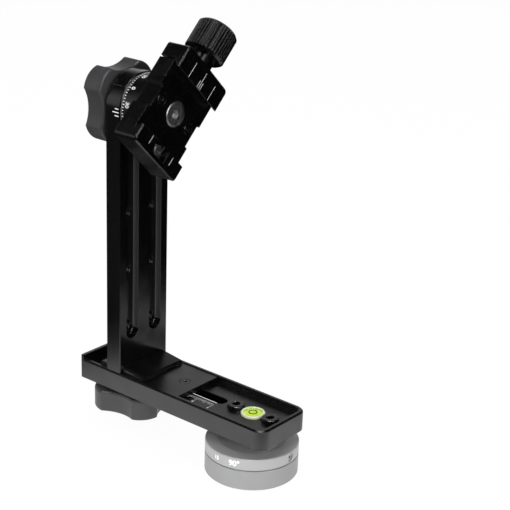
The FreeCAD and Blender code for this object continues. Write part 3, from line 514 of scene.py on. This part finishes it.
# index on the upright's head: three lines, each as its place round the rim in degrees and its two ends
indexSpec = {"name": "tiltIndex", "body": "carriage", "slot": "black_anodised", "material": whiteFill,
             "sink": 0.03, "proud": 0.015, "wrapStep": 0.4, "line": 0.5,
             "lines": [(174.8, -3.3, -0.7), (180.5, -4.7, -0.6), (186.2, -3.3, -0.7)]}


def onHeadSide(u, v, h):
    # below the tilt axis the rim goes on as the upright's flat side
    radius = headRadius + h * mm
    angle = u * mm / headRadius
    if angle <= math.pi:
        return Vector((uprightHigh.x + v * mm, radius * math.cos(angle), tiltZ + radius * math.sin(angle)))
    return Vector((uprightHigh.x + v * mm, -radius, tiltZ - (angle - math.pi) * headRadius))


shapes = []
half = indexSpec["line"] / 2
for degrees, v0, v1 in indexSpec["lines"]:
    u = math.radians(degrees) * headRadius / mm
    shapes.append(barPolygon(u - half, u + half, v0, v1))
paintMark(indexSpec, shapes, onHeadSide)
print("tilt scale")

# millimetre scale on the rail's channel floor
scaleSpec = {"name": "railScale", "body": "rotor", "slot": "dark_grey_anodised", "material": whiteFill,
             "sink": 0.03, "proud": 0.015, "line": 0.16, "baseline": -5.5, "first": -20.5, "ticks": 60,
             "long": 3.5, "medium": 2.4, "short": 1.5, "digits": 2.0, "digitDrop": 4.9}


def onRailFloor(u, v, h):
    return Vector((u * mm, v * mm, floorZ + h * mm))


shapes = []
half = scaleSpec["line"] / 2
first = scaleSpec["first"]
base = scaleSpec["baseline"]
for i in range(scaleSpec["ticks"] + 1):
    reach = scaleSpec["short"]
    if i % 5 == 0:
        reach = scaleSpec["medium"]
    if i % 10 == 0:
        reach = scaleSpec["long"]
    shapes.append(barPolygon(first - i - half, first - i + half, base - reach, base))
shapes.append(barPolygon(first - scaleSpec["ticks"], first, base - half, base + half))
for i in range(0, scaleSpec["ticks"] + 1, 10):
    digits = glyphPolygons(str(i // 10 + 1), scaleSpec["digits"])
    shapes += shifted(digits, first - i, base - scaleSpec["digitDrop"])
paintMark(scaleSpec, shapes, onRailFloor)
print("rail scale")


# position lines on the clamp's jaws, each as its place along the jaw and its two ends
def onJaws(u, v, h):
    centre = Vector((jawTopX + h * mm, 0, tiltZ))
    return centre + alongJaw * u * mm + jawAxis * v * mm


fixedSpec = {"name": "fixedJawMarks", "body": "tilt_head", "slot": "black_anodised", "material": whiteFill,
             "sink": 0.03, "proud": 0.015, "line": 0.2, "lines": [(-9.7, -22.0, -17.5), (9.7, -22.0, -17.5)]}
movingSpec = {"name": "movingJawMarks", "body": "jaw", "slot": "black_anodised", "material": whiteFill,
              "sink": 0.03, "proud": 0.015, "line": 0.2,
              "lines": [(-9.7, 16.0, 24.0), (9.7, 16.0, 24.0), (0.0, 16.0, 24.8), (-1.35, 16.0, 19.8),
                        (1.35, 16.0, 19.8)]}
for spec in (fixedSpec, movingSpec):
    half = spec["line"] / 2
    paintMark(spec, [barPolygon(u - half, u + half, v0, v1) for u, v0, v1 in spec["lines"]], onJaws)
print("jaw lines")


# screw threads, as a ridge wound inside each hole
def threadRidge(shape, spec, centre, direction):
    axis = direction.normalized()
    side = axis.orthogonal().normalized()
    other = axis.cross(side)
    stepsPerTurn = 28
    flank = spec["pitch"] * 0.38
    # the ridge's foot is buried a little in the hole's wall
    footRadius = spec["radius"] + 0.02
    previous = None
    for i in range(int(spec["length"] / spec["pitch"] * stepsPerTurn) + 1):
        angle = 2 * math.pi * i / stepsPerTurn
        outward = side * math.cos(angle) + other * math.sin(angle)
        along = spec["pitch"] * i / stepsPerTurn
        ends = [(footRadius, along - flank), (spec["radius"] - spec["depth"], along), (footRadius, along + flank)]
        ring = [shape.verts.new(centre + (outward * r + axis * min(max(a, 0), spec["length"])) * mm)
                for r, a in ends]
        if previous:
            for j in range(3):
                k = (j + 1) % 3
                shape.faces.new([previous[j], previous[k], ring[k], ring[j]])
        else:
            shape.faces.new(ring)
        previous = ring
    shape.faces.new(previous[::-1])


def buildThreads(spec, starts, direction):
    shape = bmesh.new()
    for start in starts:
        threadRidge(shape, spec, start + direction * spec["inset"] * mm, direction)
    bmesh.ops.recalc_face_normals(shape, faces=shape.faces[:])
    finishMesh(spec, shape, True)


holeSpec = {"name": "accessoryThreads", "body": "carriage", "slot": "black_anodised", "material": blackAnodised,
            "radius": 2.55, "pitch": 1.27, "depth": 0.32, "length": 5.9, "inset": 0.1}
outer = next(m for m in frame["record"]["mounts"] if m["name"] == "accessory_holes_outer")
halfWide = outer["dims"]["spacing_x_mm"] / 2 * mm
halfHigh = outer["dims"]["spacing_y_mm"] / 2 * mm
holes = [Vector(outer["pos_m"]) + Vector((0, column * halfWide, row * halfHigh))
         for column in (-1, 1) for row in (-1, 0, 1)]
buildThreads(holeSpec, holes, Vector((1, 0, 0)))

tripodSpec = {"name": "tripodThread", "body": "base", "slot": "bright_steel", "material": brightSteel,
              "radius": 3.97, "pitch": 1.5875, "depth": 0.4, "length": 8.2, "inset": 0.15}
buildThreads(tripodSpec, [Vector((0, 0, 0))], Vector((0, 0, 1)))
print("threads")


# level: the ring printed under the lens
inkSpec = {"name": "levelRing", "body": "rotor", "slot": "clear_acrylic", "material": levelInk, "radius": 2.0,
           "thick": 0.28, "lift": 0.02, "segments": 48, "around": 8}


def ringTube(shape, spec, centre):
    rows = []
    for i in range(spec["segments"]):
        angle = 2 * math.pi * i / spec["segments"]
        outward = Vector((math.cos(angle), math.sin(angle), 0))
        row = []
        for j in range(spec["around"]):
            turn = 2 * math.pi * j / spec["around"]
            row.append(shape.verts.new(centre + (outward * (spec["radius"] + spec["thick"] * math.cos(turn))
                                                 + Vector((0, 0, spec["thick"] * math.sin(turn)))) * mm))
        rows.append(row)
    for i, row in enumerate(rows):
        following = rows[(i + 1) % spec["segments"]]
        for j in range(spec["around"]):
            k = (j + 1) % spec["around"]
            shape.faces.new([row[j], following[j], following[k], row[k]])


shape = bmesh.new()
ringTube(shape, inkSpec, Vector((0, 0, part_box("level_lens")[1].z + inkSpec["lift"] * mm)))
finishMesh(inkSpec, shape, True)
print("level")

# floor, light and camera
def lightPathMix(tree, path, output, first, second):
    node = addNode(tree, "ShaderNodeMix", {"data_type": "FLOAT"}, {"Factor": path.outputs[output]})
    setOrLink(tree, node.inputs[2], first)
    setOrLink(tree, node.inputs[3], second)
    return node.outputs[0]


# the sheet's glow in reflections, in metres: a spread that differs from the near to the far side, a left end,
# a faint strip at the near side, and the rail's own soft shadow on the sheet behind it
floorSpec = {"halfSize": 6.0, "drop": 0.0001, "colour": "#eeeeee", "cameraStrength": 1.02, "cameraShare": 0.94,
             "middle": (-0.042, 0.0, 0.0), "squash": (0.95, 1.0, 0.0), "sides": (-0.03, 0.03),
             "steepness": (-50.0, -62.0), "start": (5.15, 7.0), "leftEnd": (-0.19, -0.15),
             "nearStrip": (-0.15, -0.1), "nearShare": 0.045, "shadowScale": 50.0, "shadowShift": -4.15,
             "shadowShare": 0.9, "shadowEnd": (0.02, 0.04)}


def floorMaterial():
    # white sheet: plain white to the eye with a faint shadow; in reflections it fades out past the sheet's edge
    material = bpy.data.materials.new("floorSheet")
    material.use_nodes = True
    tree = material.node_tree
    tree.nodes.clear()
    path = addNode(tree, "ShaderNodeLightPath")
    place = addNode(tree, "ShaderNodeTexCoord").outputs["Object"]
    split = axesOf(tree, place)
    # full white out to 103 mm on the near side and 113 mm on the far one, then a third every 22 or 18 mm
    centred = vectorNode(tree, "SUBTRACT", place, floorSpec["middle"])
    away = vectorNode(tree, "LENGTH", vectorNode(tree, "MULTIPLY", centred, floorSpec["squash"]))
    steepness = remap(tree, split["Y"], *floorSpec["steepness"], *floorSpec["sides"])
    start = remap(tree, split["Y"], *floorSpec["start"], *floorSpec["sides"])
    fall = mathNode(tree, "EXPONENT", mathNode(tree, "ADD", product(tree, steepness, away), start))
    left = remap(tree, split["X"], 0.0, 1.0, *floorSpec["leftEnd"])
    faint = remap(tree, split["Y"], floorSpec["nearShare"], 0.0, *floorSpec["nearStrip"])
    beside = addNode(tree, "ShaderNodeMath", {"operation": "MULTIPLY_ADD", 1: floorSpec["shadowScale"],
                                              2: floorSpec["shadowShift"]}, {0: split["Y"]}).outputs[0]
    bell = mathNode(tree, "EXPONENT", product(tree, beside, beside, -1.0))
    shadow = product(tree, bell, remap(tree, split["X"], floorSpec["shadowShare"], 0.0, *floorSpec["shadowEnd"]))
    fade = product(tree, mathNode(tree, "MINIMUM", fall, 1.0), left, mathNode(tree, "SUBTRACT", 1.0, shadow))
    fade = mathNode(tree, "MAXIMUM", fade, faint)
    diffuse = addNode(tree, "ShaderNodeBsdfDiffuse", {"Color": linear(floorSpec["colour"])})
    strength = lightPathMix(tree, path, "Is Camera Ray", fade, floorSpec["cameraStrength"])
    glow = addNode(tree, "ShaderNodeEmission", None, {"Strength": strength})
    share = lightPathMix(tree, path, "Is Camera Ray", 0.0, floorSpec["cameraShare"])
    share = lightPathMix(tree, path, "Is Glossy Ray", share, 1.0)
    share = lightPathMix(tree, path, "Is Transmission Ray", share, 1.0)
    mixed = addNode(tree, "ShaderNodeMixShader", None, {0: share, 1: diffuse.outputs[0], 2: glow.outputs[0]})
    addNode(tree, "ShaderNodeOutputMaterial", None, {"Surface": mixed.outputs[0]})
    return material


def buildFloor():
    shape = bmesh.new()
    bmesh.ops.create_grid(shape, x_segments=4, y_segments=4, size=floorSpec["halfSize"])
    mesh = bpy.data.meshes.new("floor")
    shape.to_mesh(mesh)
    shape.free()
    mesh.materials.append(floorMaterial())
    floor = bpy.data.objects.new("floor", mesh)
    bpy.context.scene.collection.objects.link(floor)
    floor.location = (0, 0, -floorSpec["drop"])


# the room in reflections: walls that end at a height and are bright behind the part, and soft-edged panels,
# each as direction, outer and inner half angle in degrees, and strength
roomSpec = {"wallStrength": (0.5, 0.01), "wallHeight": (0.3, 0.6), "behind": (-0.955, 0.25, 0.15),
            "behindStrength": (0.1, 1.65), "behindSpan": (0.0, 0.78),
            "overhead": ((0.12, -0.14, 1.0), 15.0, 9.0, 14.0), "high": ((-0.05, -0.5, 0.87), 16.0, 8.0, 0.4),
            "side": ((0.965, -0.25, 0.05), 10.0, 6.0, 9.0), "sideSquash": (1.0, 1.0, 0.22),
            "elsewhere": 0.5, "throughGlass": 0.9}


def panel(tree, direction, centre, outerDegrees, innerDegrees, strength):
    facing = vectorNode(tree, "DOT_PRODUCT", direction, Vector(centre).normalized())
    return remap(tree, facing, 0.0, strength, math.cos(math.radians(outerDegrees)),
                 math.cos(math.radians(innerDegrees)))


def buildWorld():
    world = bpy.data.worlds.new("studio")
    bpy.context.scene.world = world
    world.use_nodes = True
    tree = world.node_tree
    tree.nodes.clear()
    path = addNode(tree, "ShaderNodeLightPath")
    direction = addNode(tree, "ShaderNodeTexCoord").outputs["Generated"]
    walls = remap(tree, axesOf(tree, direction)["Z"], *roomSpec["wallStrength"], *roomSpec["wallHeight"])
    # the sides of the room are dim, which gives the fluted knob its dark flanks
    behind = vectorNode(tree, "DOT_PRODUCT", direction, roomSpec["behind"])
    walls = product(tree, walls, remap(tree, behind, *roomSpec["behindStrength"], *roomSpec["behindSpan"]))
    # the side panel is tall: its direction is squashed in height
    squashed = vectorNode(tree, "NORMALIZE", vectorNode(tree, "MULTIPLY", direction, roomSpec["sideSquash"]))
    for lit in (panel(tree, direction, *roomSpec["overhead"]), panel(tree, direction, *roomSpec["high"]),
                panel(tree, squashed, *roomSpec["side"])):
        walls = mathNode(tree, "ADD", walls, lit)
    value = lightPathMix(tree, path, "Is Glossy Ray", roomSpec["elsewhere"], walls)
    value = lightPathMix(tree, path, "Is Transmission Ray", value, roomSpec["throughGlass"])
    value = lightPathMix(tree, path, "Is Camera Ray", value, 1.0)
    background = addNode(tree, "ShaderNodeBackground", {"Color": (1, 1, 1, 1)}, {"Strength": value})
    addNode(tree, "ShaderNodeOutputWorld", None, {"Surface": background.outputs[0]})


# soft boxes, in metres and watts
lampSpecs = [
    {"name": "topLight", "place": (-0.1, 0.1, 0.95), "target": (-0.04, 0, 0.05), "size": (0.7, 0.7), "watts": 2.2},
    {"name": "leftLight", "place": (-0.75, -0.55, 0.55), "target": (-0.04, 0, 0.08), "size": (0.5, 0.5), "watts": 1.6},
    {"name": "rightLight", "place": (0.7, -0.35, 0.24), "target": (-0.04, 0, 0.06), "size": (0.4, 0.4), "watts": 3.0},
    {"name": "kneeLight", "place": (0.02, -0.24, 0.03), "target": (-0.06, 0, 0.015), "size": (0.12, 0.08),
     "watts": 0.27},
]


def softbox(spec):
    lamp = bpy.data.lights.new(spec["name"], "AREA")
    lamp.shape = "RECTANGLE"
    lamp.size, lamp.size_y = spec["size"]
    lamp.energy = spec["watts"]
    holder = bpy.data.objects.new(spec["name"], lamp)
    bpy.context.scene.collection.objects.link(holder)
    holder.location = spec["place"]
    holder.visible_glossy = False
    holder.visible_camera = False
    toTarget = Vector(spec["target"]) - Vector(spec["place"])
    holder.rotation_euler = toTarget.to_track_quat("-Z", "Y").to_euler()


# place in mm, roll in degrees
cameraSpec = {"place": (391.2, -489.8, 351.9), "forward": (-0.5848, 0.7282, -0.3574), "roll": 1.98,
              "lens": 101.78, "sensor": 36, "clip": 0.01}


def buildCamera():
    forward = Vector(cameraSpec["forward"]).normalized()
    level = forward.cross(Vector((0, 0, 1))).normalized()
    up = level.cross(forward)
    roll = math.radians(cameraSpec["roll"])
    right = level * math.cos(roll) + up * math.sin(roll)
    up = right.cross(forward)
    camera = bpy.data.objects.new("camera", bpy.data.cameras.new("camera"))
    bpy.context.scene.collection.objects.link(camera)
    turn = Matrix((right, up, -forward)).transposed()
    camera.matrix_world = Matrix.Translation(Vector(cameraSpec["place"]) * mm) @ turn.to_4x4()
    camera.data.sensor_width = cameraSpec["sensor"]
    camera.data.lens = cameraSpec["lens"]
    camera.data.clip_start = cameraSpec["clip"]
    bpy.context.scene.camera = camera


buildFloor()
buildWorld()
for lampSpec in lampSpecs:
    softbox(lampSpec)
buildCamera()
bpy.context.scene.view_settings.view_transform = "Standard"
print("floor, light and camera")
